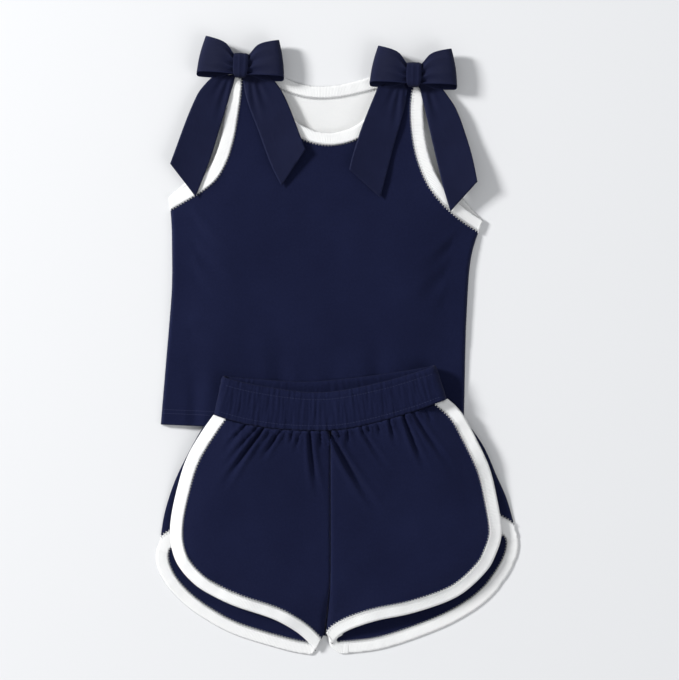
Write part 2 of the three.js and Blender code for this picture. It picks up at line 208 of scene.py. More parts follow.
def even_run(points, step):
    """A smooth line through points, as evenly spaced ones."""
    points = np.asarray(points, float)
    if len(points) > 2:
        ends = np.vstack([2 * points[0] - points[1], points, 2 * points[-1] - points[-2]])
        knots = np.concatenate([[0], np.cumsum(np.sqrt(
            np.linalg.norm(np.diff(ends, axis=0), axis=1)))])
        dense = []
        for i in range(1, len(ends) - 2):
            k0, k1, k2, k3 = knots[i - 1:i + 3]
            p0, p1, p2, p3 = ends[i - 1:i + 3]
            for t in np.linspace(k1, k2, 9)[:-1]:
                a = p0 + (p1 - p0) * (t - k0) / (k1 - k0)
                b = p1 + (p2 - p1) * (t - k1) / (k2 - k1)
                c = p2 + (p3 - p2) * (t - k2) / (k3 - k2)
                low = a + (b - a) * (t - k0) / (k2 - k0)
                high = b + (c - b) * (t - k1) / (k3 - k1)
                dense.append(low + (high - low) * (t - k1) / (k2 - k1))
        points = np.vstack([dense, points[-1]])
    length = np.concatenate([[0], np.cumsum(np.linalg.norm(np.diff(points, axis=0), axis=1))])
    at = np.linspace(0, length[-1], max(1, round(length[-1] / step)) + 1)
    return np.stack([np.interp(at, length, axis) for axis in points.T], axis=1)


def edges_of(rim, step):
    """The smooth edges of an outline, each from one true corner to the next."""
    corners = np.flatnonzero(np.abs(bends(rim)) > SHARP)
    edges = []
    for first, last in zip(corners, np.roll(corners, -1)):
        count = (last - first) % len(rim) or len(rim)
        edges.append(even_run(rim[(first + np.arange(count + 1)) % len(rim)], step))
    return edges


def inside(points, rim):
    """Which points lie inside an outline."""
    x, y = points[:, :1], points[:, 1:]
    ax, ay = rim.T
    bx, by = np.roll(rim, -1, axis=0).T
    spans = (ay > y) != (by > y)
    crossing = ax + (y - ay) * (bx - ax) / np.where(by == ay, 1e-12, by - ay)
    return (spans & (x < crossing)).sum(axis=1) % 2 == 1


def away(points, line, reach=1.0):
    """How far points lie from a line of points, no further than reach."""
    least = np.full(len(points), reach)
    for a, b in zip(line[:-1], line[1:]):
        run = b - a
        share = ((points - a) @ run / max(run @ run, 1e-18)).clip(0, 1)
        least = np.minimum(least, np.linalg.norm(points - a - share[:, None] * run, axis=1))
    return least


def laid_out(edges, cell):
    """A cut piece as flat points and even triangles between its edges."""
    rim = np.vstack([edge[:-1] for edge in edges])
    low, high = rim.min(axis=0), rim.max(axis=0)
    rows = np.arange(low[1], high[1], cell * math.sqrt(0.75))
    columns = np.arange(low[0], high[0], cell)
    grid = np.array([(x + cell / 2 * (j % 2), y) for j, y in enumerate(rows) for x in columns])
    grid = grid[inside(grid, rim)]
    closed = np.vstack([rim, rim[:1]])
    grid = grid[away(grid, closed, cell) > 0.55 * cell]
    points = [Vector(p) for p in np.vstack([rim, grid])]
    border = [(i, (i + 1) % len(rim)) for i in range(len(rim))]
    points, _, faces, *_ = delaunay_2d_cdt(points, border, [], 1, 1e-7)
    return np.array([p[:] for p in points]), [tuple(face) for face in faces]


def soft_step(value, low, high):
    t = ((value - low) / (high - low)).clip(0, 1)
    return t * t * (3 - 2 * t)


def surface_of(mesh):
    return BVHTree.FromPolygons([v.co for v in mesh.vertices], [p.vertices for p in mesh.polygons])


def met_from_above(surface, point):
    """Where a plumb line through a flat point first meets a surface, if it does."""
    return surface.ray_cast(Vector((*point, 1)), Vector((0, 0, -1)))[0]


def lie_of(node, points):
    """The height of a part's upper face under each point, or of its nearest point."""
    surface = surface_of(frame["nodes"][node].data)
    return np.array([(met_from_above(surface, p) or
                      surface.find_nearest(Vector((*p, 20 * MM)))[0]).z for p in points])


def height_at(spots, points, heights):
    """The height of the nearest of the points at each spot."""
    tree = kdtree.KDTree(len(points))
    for i, point in enumerate(points):
        tree.insert((*point, 0), i)
    tree.balance()
    return np.array([heights[tree.find((*spot, 0))[1]] for spot in spots])


def eased(heights, faces, passes, hold=None):
    """Heights evened out with their neighbours', so that facets become soft cloth."""
    sides = np.array([(f[i], f[i - 1]) for f in faces for i in range(len(f))])
    count = np.bincount(sides.ravel(), minlength=len(heights))
    weight = 1.0 if hold is None else hold
    for _ in range(passes):
        total = np.bincount(sides[:, 0], heights[sides[:, 1]], len(heights))
        total += np.bincount(sides[:, 1], heights[sides[:, 0]], len(heights))
        heights = heights + weight * (total / np.maximum(count, 1) - heights)
    return heights


def rumple(points, size, seed):
    """Soft uneven waves over a piece of cloth, about -1 to 1."""
    return np.array([noise.noise(Vector((x / size, y / size, seed))) for x, y in points]) * 1.6


def made(name, vertices, faces, flat, edge, material, thickness):
    """A cloth object, its thickness under its drawn face. flat is each point's place on the
    flat cloth, edge how near its edge is."""
    mesh = bpy.data.meshes.new(name)
    mesh.from_pydata([tuple(v) for v in vertices], [], faces)
    layout = mesh.uv_layers.new(name="flat_cloth")
    corners = np.empty(len(mesh.loops), np.int32)
    mesh.loops.foreach_get("vertex_index", corners)
    layout.data.foreach_set("uv", np.asarray(flat, np.float32)[corners].ravel())
    nearness = mesh.attributes.new("edge", "FLOAT", "POINT")
    nearness.data.foreach_set("value", np.asarray(edge, np.float32))
    mesh.shade_smooth()
    mesh.materials.append(material)
    piece = placed(name, mesh)
    wall = piece.modifiers.new("thickness", "SOLIDIFY")
    wall.thickness = thickness
    wall.offset = -1
    return piece


class Strand:
    """A socket in a finish's nodes. Sums and products written with it add the Math nodes."""

    def __init__(self, tree, socket=None):
        self.tree = tree
        self.socket = socket

    def node(self, kind, settings=None, sockets=None, out=0):
        new = self.tree.nodes.new(kind)
        for name, value in (settings or {}).items():
            setattr(new, name, value)
        for name, value in (sockets or {}).items():
            if isinstance(value, Strand):
                self.tree.links.new(value.socket, new.inputs[name])
            else:
                new.inputs[name].default_value = value
        return Strand(self.tree, new.outputs[out])

    def out(self, name):
        """Another output of the node that this socket is on."""
        return Strand(self.tree, self.socket.node.outputs[name])

    def math(self, operation, *values):
        return self.node("ShaderNodeMath", {"operation": operation}, dict(enumerate(values)))

    def __add__(self, other):
        return self.math("ADD", self, other)

    def __sub__(self, other):
        return self.math("SUBTRACT", self, other)

    def __rsub__(self, other):
        return self.math("SUBTRACT", other, self)

    def __mul__(self, other):
        return self.math("MULTIPLY", self, other)

    def __truediv__(self, other):
        return self.math("DIVIDE", self, other)

    __radd__ = __add__
    __rmul__ = __mul__

    def sine(self):
        return self.math("SINE", self)

    def waves(self, length):
        """Even waves between 0 and 1."""
        return (self * (math.tau / length)).sine() * 0.5 + 0.5

    def across(self):
        """The X of a place. Its Y is the same node's other output."""
        return self.node("ShaderNodeSeparateXYZ", None, {"Vector": self})

    def from_edge(self):
        """How far a point of cloth lies from its cut edge, in metres."""
        return self.node("ShaderNodeAttribute", {"attribute_name": "edge"}, out="Fac")

    def within(self, low, high):
        """0 at low and 1 at high, eased between."""
        return self.node("ShaderNodeMapRange", {"interpolation_type": "SMOOTHSTEP"},
                         {"Value": self, "From Min": low, "From Max": high})

    def blotches(self, place, scale, detail=2):
        return self.node("ShaderNodeTexNoise", None,
                         {"Vector": place, "Scale": scale, "Detail": detail})

    def tint(self, share, first, second):
        """A colour between two."""
        return self.node("ShaderNodeMix", {"data_type": "RGBA"},
                         {"Factor": share, 6: first, 7: second}, out=2)


def finish(name, colour, dress, roughness, sheen=0.0, specular=0.3):
    """A matt cloth finish. dress(strand) returns its colour, relief height and relief depth."""
    material = bpy.data.materials.new(name)
    material.use_nodes = True
    material.diffuse_color = (*colour, 1)
    tree = material.node_tree
    shader = tree.nodes["Principled BSDF"]
    shaded, relief, depth = dress(Strand(tree))
    tree.links.new(shaded.socket, shader.inputs["Base Color"])
    bump = relief.node("ShaderNodeBump", None,
                       {"Strength": 0.9, "Distance": depth, "Height": relief})
    tree.links.new(bump.socket, shader.inputs["Normal"])
    rough = roughness + (relief - 0.5) * -0.08
    tree.links.new(rough.socket, shader.inputs["Roughness"])
    shader.inputs["Specular IOR Level"].default_value = specular
    shader.inputs["Sheen Weight"].default_value = sheen
    shader.inputs["Sheen Roughness"].default_value = 0.5
    return material


def flat_place(strand):
    """Where a point lies on the flat cloth, in metres."""
    return strand.node("ShaderNodeUVMap", {"uv_map": "flat_cloth"})


def plan_area(points, faces):
    a, b, c = (points[[f[i] for f in faces]] for i in range(3))
    first, second = b - a, c - a
    return 0.5 * float(np.abs(first[:, 0] * second[:, 1] - first[:, 1] * second[:, 0]).sum())


def ribbed(colour, painted_light_and_wear):
    """Fine rib across the strip: rounded ribs, soft grooves greyed with painted shade, a little
    greying at the fold.
    """
    rib, course_height = 1.5 * MM, 0.75 * MM

    def dress(strand):
        place = flat_place(strand)
        split = place.across()
        ribs = split.waves(rib)
        course = split.out("Y").waves(course_height)
        fibre = strand.blotches(place, 2400, 3)
        broad = strand.blotches(place, 30, 3).within(0.35, 0.75)
        edge = strand.from_edge()
        rub = (1 - edge.within(0, 1.6 * MM)) * strand.blotches(place, 160, 3).within(0.4, 0.75)
        # (1 - ribs) greys the grooves between the ribs with painted shade; broad is random tone
        # and rub is wear at the fold.
        share = (1 - ribs) * 0.35 + broad * 0.25 + rub * 0.6
        shade = strand.tint(share, (*colour, 1), (*painted_light_and_wear, 1))
        return shade, ribs * 0.75 + ribs * course * 0.3 + fibre * 0.25, 0.25 * MM

    return dress


BRIGHT = (0.86, 0.86, 0.85)
# The grey is the painted shade in the rib's grooves, and also the wear at its fold.
white_rib = finish("white_rib", BRIGHT, ribbed(BRIGHT, (0.72, 0.725, 0.735)), 0.85, 0.1)
edge_stitches = {"top": [], "shorts": []}


def run_where(rim, chosen):
    """The longest unbroken run of chosen points round an outline."""
    twice = np.concatenate([chosen, chosen])
    best, start = (0, 0), None
    for i, is_in in enumerate(twice):
        start = (i if start is None else start) if is_in else None
        if start is not None and i - start + 1 > best[1] - best[0]:
            best = (start, i + 1)
    return rim[np.arange(best[0], min(best[1], best[0] + len(rim))) % len(rim)]


def how_far_along(points, line):
    """The length of a line from its start to the place on it nearest each point."""
    least = np.full(len(points), np.inf)
    along = np.zeros(len(points))
    start = 0.0
    for a, b in zip(line[:-1], line[1:]):
        run = b - a
        length = np.linalg.norm(run)
        share = ((points - a) @ run / length ** 2).clip(0, 1)
        apart = np.linalg.norm(points - a - share[:, None] * run, axis=1)
        along = np.where(apart < least, start + share * length, along)
        least = np.minimum(least, apart)
        start += length
    return along


def bound_edge(node, panel_node, body, cell=1.6 * MM):
    """A folded strip over an edge: an upper and an under layer that meet at the fold."""
    edges = edges_of(plan_of(node), cell)
    rim = np.vstack([edge[:-1] for edge in edges])
    beside = plan_of(panel_node)
    apart = away(rim, np.vstack([*edges_of(beside, cell)]), 60 * MM)
    fold = run_where(rim, apart > 0.93 * BINDING_WIDTH)
    seam = run_where(rim, apart < 0.8 * MM)
    points, faces = laid_out(edges, cell)
    from_fold = away(points, fold, 40 * MM)
    from_seam = away(points, seam, 40 * MM)
    place = how_far_along(points, fold)
    upper = eased(lie_of(node, points), faces, 25, soft_step(from_seam, 0, 3 * MM))
    middle = upper - BINDING_LAYERS / 2
    pucker = np.array([noise.noise(Vector((s / (5 * MM), d / (20 * MM), 2.2)))
                       for s, d in zip(place, from_fold)]) * PUCKER
    round_fold = np.sqrt(1 - (1 - (from_fold / FOLD_ROUND).clip(0, 1)) ** 2)
    swell = BINDING_LAYERS / 2 * round_fold
    stitched = np.exp(-((from_seam - SEWN_ROW) / GROOVE_WIDTH) ** 2)
    top = middle + swell + pucker * round_fold - PUCKER * stitched
    bottom = middle - 0.94 * swell
    shared = np.flatnonzero(from_fold < 0.02 * MM)
    below = np.arange(len(points)) + len(points)
    below[shared] = shared
    kept = np.setdiff1d(np.arange(len(points)), shared)
    below[kept] = len(points) + np.arange(len(kept))
    vertices = np.vstack([np.column_stack([points, top]),
                          np.column_stack([points, bottom])[kept]])
    all_faces = faces + [tuple(int(below[i]) for i in reversed(face)) for face in faces]
    flat = np.vstack([np.column_stack([place, from_fold]),
                      np.column_stack([place, -from_fold])[kept]])
    edge = np.concatenate([from_fold, from_fold[kept]])
    piece = made(node.replace("binding", "bound_edge"), vertices, all_faces, flat, edge,
                 white_rib, BINDING_CLOTH)
    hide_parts(node)
    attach(piece, body)
    cut = 2 * plan_area(points, faces)
    edge_stitches[body].append(np.column_stack([seam, height_at(seam, points, top) + STITCH_LIFT]))


for node in BACK_BINDINGS:
    bound_edge(node, "top_back_panel", "top")
for node in FRONT_BINDINGS:
    bound_edge(node, "top_front_panel", "top")


# ---- Back bodice ----
# One piece of navy jersey cut to the shape of the back, lying face down on the table. Its neck
# and armholes run on under their bindings, which were sewn over them.
CLOTH_CELL = 2.3 * MM
HIDDEN_CELL = 3 * MM           # for cloth that lies under another panel
UNDER_BINDING = 0.1 * MM       # the gap between a binding and the cloth in it
LAYER_STEP = 0.36 * MM
JERSEY = 0.55 * MM


def under_bindings(edges, nodes, reach=4 * MM):
    """The edges of a panel, carried on under the bindings that cover them."""
    covers = [np.vstack([*edges_of(plan_of(node), 2 * MM)]) for node in nodes]
    grown = []
    for edge in edges:
        middle = edge[len(edge) // 2 - 1:len(edge) // 2 + 2]
        if len(edge) < 12 or min(away(middle, line).max() for line in covers) > 0.7 * MM:
            grown.append(edge)
            continue
        ahead = np.gradient(edge, axis=0)
        ahead /= np.linalg.norm(ahead, axis=1)[:, None]
        outward = np.column_stack([ahead[:, 1], -ahead[:, 0]])
        share = np.linspace(0, 1, len(edge))[:, None]
        taper = soft_step(np.minimum(share, 1 - share), 0, 3 / len(edge))
        grown.append(edge + outward * reach * taper)
    return grown


def bound_panel(node, bindings, cell=CLOTH_CELL, layer=0):
    """A panel whose free edges run inside bindings, its layers counted from the top one."""
    edges = edges_of(plan_of(node), cell)
    grown = under_bindings(edges, bindings)
    points, faces = laid_out(grown, cell)
    rim = np.vstack([edge[:-1] for edge in edges])
    open_rim = np.where(inside(points, rim), 1.0, 0.0)
    near = away(points, np.vstack([rim, rim[:1]]), 30 * MM) * open_rim
    height = eased(lie_of(node, points), faces, 60, soft_step(near, 0, 8 * MM))
    covered = np.zeros(len(points), bool)
    for binding in bindings:
        strip = surface_of(bpy.data.objects[binding.replace("binding", "bound_edge")].data)
        for i in np.flatnonzero(near < 1.5 * MM):
            hit = met_from_above(strip, points[i])
            if hit is not None:
                height[i] = hit.z - BINDING_CLOTH - UNDER_BINDING - LAYER_STEP * layer
                covered[i] = True
    beside = soft_step(near, 0, 12 * MM)
    height = eased(height, faces, 30, np.where(covered, 0.0, 1 - beside))
    free = np.ones(len(points))
    for i, edge in enumerate(edges):
        if grown[i] is not edge:
            free = np.minimum(free, soft_step(away(points, edge, 30 * MM), 0.5 * MM, 7 * MM))
    return points, faces, edges, height, near, free * np.where(covered, 0.0, 1.0)


def jersey(colour, painted_light_and_wear, lint):
    """Plain jersey: columns of small V stitches, their raised loops tinted as painted light,
    mottled yarn, paler where edges rub.
    """
    wale = 0.95 * MM
    course = 0.8 * MM

    def dress(strand):
        place = flat_place(strand)
        across = place.across()
        column = across / wale
        row = across.out("Y") / course
        phase = (column - column.math("FLOOR", column)) * 2 - 1
        lean = phase.math("ABSOLUTE", phase)
        leg = (column * math.tau).sine()
        stitch = leg * leg * (((row + lean) * math.tau).sine() * 0.4 + 0.6)
        fibre = strand.blotches(place, 2600, 3)
        yarn = strand.blotches(place, 420, 3)
        broad = strand.blotches(place, 14, 3)
        edge = strand.from_edge()
        rub = (1 - edge.within(0, 4 * MM)) * yarn.within(0.35, 0.7)
        # stitch * 0.25 tints the raised loops toward the second colour: a painted highlight on the
        # navy, painted shade on the white. The rest is mottled yarn and wear at the edges.
        share = (broad.within(0.3, 0.75) * 0.3 + yarn.within(0.3, 0.8) * 0.35
                 + stitch * 0.25 + rub * 0.8)
        shade = strand.tint(share, (*colour, 1), (*painted_light_and_wear, 1))
        speck = strand.blotches(place, 900, 2).within(0.74, 0.8) * 0.35
        shade = strand.tint(speck, shade, (*lint, 1))
        return shade, stitch * 0.8 + fibre * 0.35, 0.22 * MM

    return dress


NAVY = (0.0045, 0.0066, 0.029)
# A paler navy: the painted highlight on the knit's loops, and also the random mottling and the
# wear at the edges.
NAVY_HIGHLIGHT_AND_WEAR = (0.0085, 0.0120, 0.044)
NAVY_LINT = (0.040, 0.048, 0.110)
navy_jersey = finish("navy_jersey", NAVY, jersey(NAVY, NAVY_HIGHLIGHT_AND_WEAR, NAVY_LINT), 0.88, 0.03, 0.09)


def laid_panel(name, points, height, faces, near, material, thickness, body, nodes):
    """A flat cut piece: its cloth, what it replaces, what it moves with and how it was cut."""
    piece = made(name, np.column_stack([points, height]), faces, points, near, material,
                 thickness)
    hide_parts(*nodes)
    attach(piece, body)
    low, high = points.min(axis=0), points.max(axis=0)
    tuple(float(s) for s in high - low)
    plan_area(points, faces)


def back_bodice():
    points, faces, _, height, near, free = bound_panel("top_back_panel", BACK_BINDINGS,
                                                       HIDDEN_CELL, layer=1)
    height = height - 0.15 * MM * (1 - soft_step(near, 0, 3 * MM)) * free
    laid_panel("back_bodice", points, height, faces, near, navy_jersey, JERSEY,
               "top", ["top_back_panel"])


back_bodice()


# ---- Pale inside of the back bodice ----
# A thin white knit backing sewn to the inside of the back, seen through the neck and the
# armholes. It stops at the bindings and is caught in the same seams.
LINING_CLOTH = 0.3 * MM
WHITE = (0.83, 0.83, 0.82)
# The grey is painted shade on the knit's loops, and also the mottling and the wear at the edges.
white_jersey = finish("white_jersey", WHITE,
                      jersey(WHITE, (0.78, 0.785, 0.79), (0.9, 0.9, 0.9)), 0.88, 0.1)


def back_lining():
    points, faces, _, height, near, free = bound_panel("top_back_lining", BACK_BINDINGS,
                                                       HIDDEN_CELL)
    height += (rumple(points, 45 * MM, 3.7) * 0.15 - 0.25) * MM * free
    laid_panel("back_lining", points, height, faces, near, white_jersey, LINING_CLOTH,
               "top", ["top_back_lining"])


back_lining()


# ---- Front bodice ----
# Navy jersey, sewn to the back at the side and shoulder seams and loose between them. It
# turns down into the side seams, hangs in light folds from the armholes, and its hem is
# turned up once.
HEM_DEPTH = 15 * MM
HEM_ROWS = (12 * MM, 16 * MM)  # the rows of stitches, from the hem's fold
HEM_LAYER = 0.35 * MM
ROW_GROOVE = 0.3 * MM
ROW_LIFT = 0.1 * MM            # stitches stand this far out of the cloth
# Folds below an armpit: how far in from it, how far up, length and depth, in mm.
ARMPIT_FOLDS = ((14, -2, 88, 1.1), (10, -18, 105, 1.4), (6, -40, 90, 1.0), (5, -120, 60, 0.8))
# Folds that stand on the hem: how far right of the middle, length and depth, in mm.
HEM_FOLDS = ((-150, 105, 1.1), (-112, 80, 0.8), (-62, 120, 1.2), (-8, 90, 0.9),
             (38, 125, 1.2), (84, 95, 0.9), (118, 75, 0.9))
hem_rows = {"top": [], "shorts": []}


def drawn_in(points, folds):
    """Folds pressed into cloth: each is a valley between two ridges, fading along its length."""
    height = np.zeros(len(points))
    for start, end, depth, width in folds:
        start, run = np.array(start), np.array(end) - np.array(start)
        length = np.linalg.norm(run)
        from_start = points - start
        share = (from_start @ run) / length ** 2
        side = (from_start[:, 0] * run[1] - from_start[:, 1] * run[0]) / length
        side = side - 0.10 * length * share * (1 - share)
        spread = width * (0.75 + 0.8 * share.clip(0, 1))
        fade = soft_step(share, -0.06, 0.05) * (1 - soft_step(share, 0.25, 1))
        valley = np.exp(-(side / spread) ** 2)
        ridge = np.exp(-((np.abs(side) - 1.8 * spread) / spread) ** 2)
        height = height + depth * fade * (0.6 * ridge - valley)
    return height


def turned_down(height, distance, low, radius):
    """Rolls cloth down to a seam."""
    share = (distance / radius).clip(0, 1)
    return low + (height - low) * np.sqrt(1 - (1 - share) ** 2)


def hem_of(edges):
    return min(edges, key=lambda edge: edge[:, 1].mean())


def front_bodice():
    points, faces, edges, height, near, free = bound_panel("top_front_panel", FRONT_BINDINGS)
    hem = hem_of(edges)
    sides = [edge for edge in edges if abs(edge[0, 1] - edge[-1, 1]) > 200 * MM]
    left, right = sorted(sides, key=lambda edge: edge[:, 0].mean())
    armpits = [max(side, key=lambda p: p[1]) for side in (left, right)]
    folds = []
    for armpit, way in zip(armpits, (1, -1)):
        for across, up, length, depth in ARMPIT_FOLDS:
            start = armpit + np.array([way * across, up]) * MM
            lean = np.array([way * 0.62, -0.78 if up > -100 else -0.35])
            folds.append((start, start + lean * length * MM, 1.6 * depth * MM, 6.5 * MM))
    for x, length, depth in HEM_FOLDS:
        start = np.array([x * MM, hem[:, 1].mean() + 4 * MM])
        folds.append((start, start + np.array([0.06 * x, length]) * MM, 1.5 * depth * MM,
                      8 * MM))
    height += drawn_in(points, folds) * free
    inner = soft_step(near, 0, 25 * MM)
    waves = rumple(points, 70 * MM, 1.3) * 1.2 + rumple(points, 28 * MM, 5.1) * 0.4
    height += inner * waves * MM
    from_hem = away(points, hem, 40 * MM)
    height += HEM_LAYER * (1 - soft_step(from_hem, HEM_DEPTH, HEM_DEPTH + 2 * MM))
    for row in HEM_ROWS:
        height -= ROW_GROOVE * np.exp(-((from_hem - row) / (1.1 * MM)) ** 2)
    from_side = np.minimum(*(away(points, side, 40 * MM) for side in sides))
    height = eased(height, faces, 120, (1 - soft_step(from_side, 8 * MM, 25 * MM)) * free)
    height = turned_down(height, from_side, 1.5 * MM, 3.5 * MM)
    laid_panel("front_bodice", points, height, faces, near, navy_jersey, JERSEY,
               "top", ["top_front_panel"])
    for row in HEM_ROWS:
        line = hem[2:-2] + np.array([0, row])
        hem_rows["top"].append(np.column_stack([line, height_at(line, points, height) + ROW_LIFT]))


front_bodice()


# ---- Ribbon bows ----
# A bow of 38 mm navy grosgrain is tacked to each shoulder strap: two open loops, a wrap of
# narrower ribbon round their gathered middle, and a bar of thread underneath. The loops stay
# springy, so each is an open tube that flattens towards its rounded fold.
RIBBON = 0.5 * MM
RIBBON_WIDTH = 38 * MM
BOW_TURN = {"left": -3.3, "right": -2.3}
LOOP_LOW, LOOP_HIGH = -9.0, 29.0
LOOP_REACH, LOOP_REACH_HIGH = 46.0, 38.5
LOOP_LIP = 4.6                 # how much lower the under side of a loop hangs
LOOP_STEP = 1.5
LOOP_SIDE = ((0.8, 2.2), (7, 2.7), (14, 4.2), (24, 5.8), (34, 5.9), (42, 4.3), (46, 0))
LOOP_UPPER_EDGE = ((0, 10), (8.5, 11), (20, 22), (46, 29))


def grosgrain(colour, painted_light_and_wear):
    """Grosgrain: raised ribs across the ribbon, their crests paler as a painted highlight, a flat
    woven edge and a dull silky gleam.
    """
    rib, weft_thread = 1.1 * MM, 0.55 * MM

    def dress(strand):
        place = flat_place(strand)
        split = place.across()
        wobble = strand.blotches(place, 90, 2) * 0.5
        ribs = (split * (math.tau / rib) + wobble).sine() * 0.5 + 0.5
        weft = split.out("Y").waves(weft_thread)
        edge = strand.from_edge()
        border = 1 - edge.within(1.0 * MM, 1.5 * MM)
        fibre = strand.blotches(place, 1900, 3)
        broad = strand.blotches(place, 40, 3).within(0.3, 0.75)
        rub = (1 - edge.within(0, 1.1 * MM)) * fibre.within(0.35, 0.65)
        relief = ribs * (1 - border * 0.8) + weft * 0.2 + border * 0.45
        # ribs * 0.45 paints the rib crests paler as a painted highlight; broad is random tone, rub
        # is wear at the edges, and border is the woven edge's own tone.
        share = ribs * 0.45 + broad * 0.25 + rub * 0.6 + border * 0.2
        shade = strand.tint(share, (*colour, 1), (*painted_light_and_wear, 1))
        return shade, relief, 0.28 * MM

    return dress


RIBBON_NAVY = (0.0036, 0.0054, 0.026)
# A paler navy: the painted highlight on the ribs, and also random tone and the wear at the edges.
RIBBON_HIGHLIGHT_AND_WEAR = (0.0080, 0.0115, 0.043)
navy_grosgrain = finish("navy_grosgrain", RIBBON_NAVY, grosgrain(RIBBON_NAVY, RIBBON_HIGHLIGHT_AND_WEAR),
                        0.62, 0.01, 0.12)


THREAD_TWIST = 0.6 * MM


def spun(colour, painted_light_and_wear):
    """Spun thread: a slanting twist, its grooves darker as painted shade, with loose fibres."""
    def dress(strand):
        place = strand.node("ShaderNodeTexCoord", out="Object")
        split = place.across()
        twist = (split + split.out("Y")).waves(THREAD_TWIST)
        fibre = strand.blotches(place, 3000, 2)
        # Low in the twist the thread takes the darker colour: painted shade in the twist's
        # grooves.
        shade = strand.tint(twist * 0.6 + fibre * 0.4, (*painted_light_and_wear, 1), (*colour, 1))
        return shade, twist * 0.7 + fibre * 0.3, 0.08 * MM

    return dress


# The darker second colour of each thread is its painted shade in the twist's grooves.
navy_thread = finish("navy_thread", (0.012, 0.016, 0.055),
                     spun((0.030, 0.040, 0.115), (0.010, 0.014, 0.05)), 0.6, 0.0, 0.4)
white_thread = finish("white_thread", (0.88, 0.88, 0.87),
                      spun((0.92, 0.92, 0.91), (0.72, 0.73, 0.75)), 0.6, 0.0, 0.4)


def woven_grid(rows, columns, around=False):
    """The faces of a grid of points, row by row."""
    faces = []
    for i in range(rows if around else rows - 1):
        for j in range(columns - 1):
            a, b = i * columns + j, ((i + 1) % rows) * columns + j
            faces.append((a, b, b + 1, a + 1))
    return faces


def bow_place(side):
    """Where a bow's own X, Y and Z (mm) come on the shoulder, from its knot's middle."""
    low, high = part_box(f"{side}_bow_knot")
    centre = np.array((low + high) / 2)
    turn = math.radians(BOW_TURN[side])
    ways = np.array([[math.cos(turn), math.sin(turn), 0], [-math.sin(turn), math.cos(turn), 0],
                     [0, 0, 1]])
    return lambda local: centre + np.asarray(local) * MM @ ways


def bow_loop(side, which):
    outward = -1 if (side == "left") == (which == "outer") else 1
    half = [np.array(p) for p in LOOP_SIDE]
    round_path = [p * (1, -1) for p in half[:-1]] + [half[-1]] + half[-2::-1]
    path = even_run(round_path, LOOP_STEP)
    columns = 33
    upper_x, upper_y = even_run(LOOP_UPPER_EDGE, 0.5).T
    vertices, flat, edge = [], [], []
    for i, (x, z) in enumerate(path):
        on_top = soft_step(np.array(i / (len(path) - 1)), 0.46, 0.54)
        out = x / LOOP_REACH
        lip = LOOP_LIP * (1 - on_top) * float(soft_step(np.array(out), 0.15, 0.6))
        low, high = LOOP_LOW - lip, float(np.interp(x, upper_x, upper_y))
        for j in range(columns):
            v = j / (columns - 1)
            reach = 1 + (LOOP_REACH_HIGH / LOOP_REACH - 1) * v
            gather = math.exp(-x / 15)
            pleat = math.cos(math.tau * (2.6 * v + 0.12)) * gather * (1.7 + 0.9 * (2 * on_top - 1))
            tuck = ((3.4 * v + 0.15) % 1 - 0.5) / 0.13
            pleat -= (2 * on_top - 1) * 1.5 * math.exp(-tuck * tuck - x / 14)
            crown = math.sin(math.pi * v) * 0.9 * out * (2 * on_top - 1)
            droop = -0.7 * out * (1 - v) * on_top
            bow_out = 1.4 * math.sin(math.pi * v) * out ** 3
            y = low + (high - low) * v
            vertices.append((outward * (x * reach + bow_out), y, z + pleat + crown + droop))
            flat.append((i * LOOP_STEP * MM, v * RIBBON_WIDTH))
            edge.append(min(v, 1 - v) * RIBBON_WIDTH)
    faces = woven_grid(len(path), columns)
    if outward > 0:
        faces = [face[::-1] for face in faces]
    name = f"{side}_bow_{which}_loop"
    place = bow_place(side)
    piece = made(f"{name}_ribbon", [place(v) for v in vertices], faces, flat, edge,
                 navy_grosgrain, RIBBON)
    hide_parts(name)
    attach(piece, "top")


def bow_knot(side):
    """The wrap: a band round the middle, drawn in and creased, its ends hidden underneath."""
    around, across = 72, 21
    turned_in = 4
    vertices, flat, edge = [], [], []
    for i in range(around):
        angle = math.tau * i / around
        c, s = math.cos(angle), math.sin(angle)
        ring = (abs(c) ** 3.2 + abs(s) ** 3.2) ** (-1 / 3.2)
        lower = max(0.0, -c) ** 3
        width = 16.6 - 6.5 * lower - 1.4 * max(0.0, c) ** 3 - 0.6 * abs(s)
        for j in range(across + 2 * turned_in):
            k = j - turned_in
            inner = max(0, -k, k - across + 1)
            t = 2 * min(max(k, 0), across - 1) / (across - 1) - 1
            crease = 0.22 * math.cos(math.tau * (1.3 * t + 0.15)) * (1 - 0.4 * abs(c))
            crease += 0.08 * math.cos(math.tau * (2.6 * t + 0.4) + 1.2 * c)
            roll = 1.1 * abs(t) ** 4
            radius = 1 - inner * 0.55 / 7
            x = t * width / 2 * (1 - 0.02 * inner)
            y = (13.0 * ring * c + (crease - roll) * c) * radius
            z = (7.0 * ring * s + (crease - roll) * s) * radius
            vertices.append((x, y, z))
            flat.append((i * 1.05 * MM, (t * 9 + 12 + inner) * MM))
            edge.append(4 * MM)
    columns = across + 2 * turned_in
    name = f"{side}_bow_knot"
    place = bow_place(side)
    piece = made(f"{name}_wrap", [place(v) for v in vertices],
                 woven_grid(around, columns, around=True), flat, edge, navy_grosgrain, RIBBON)
    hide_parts(name)
    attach(piece, "top")


def dyed(node, material):
    """Gives a part that is shown as it is its finish."""
    slots = frame["nodes"][node].data.materials
    slots.clear()
    slots.append(material)


for side in ("left", "right"):
    for which in ("outer", "inner"):
        bow_loop(side, which)
    bow_knot(side)
    dyed(f"{side}_bow_tack", navy_thread)


# ---- Bow tails ----
# Two tails hang from each bow and lie on the front of the top. Their upper ends are folded
# into the knot; the ends are cut on the slant.
TAIL_CELL = 1.8 * MM
IN_KNOT = ((9, -9.5), (3, -8.5), (2, 0), (7, 5))


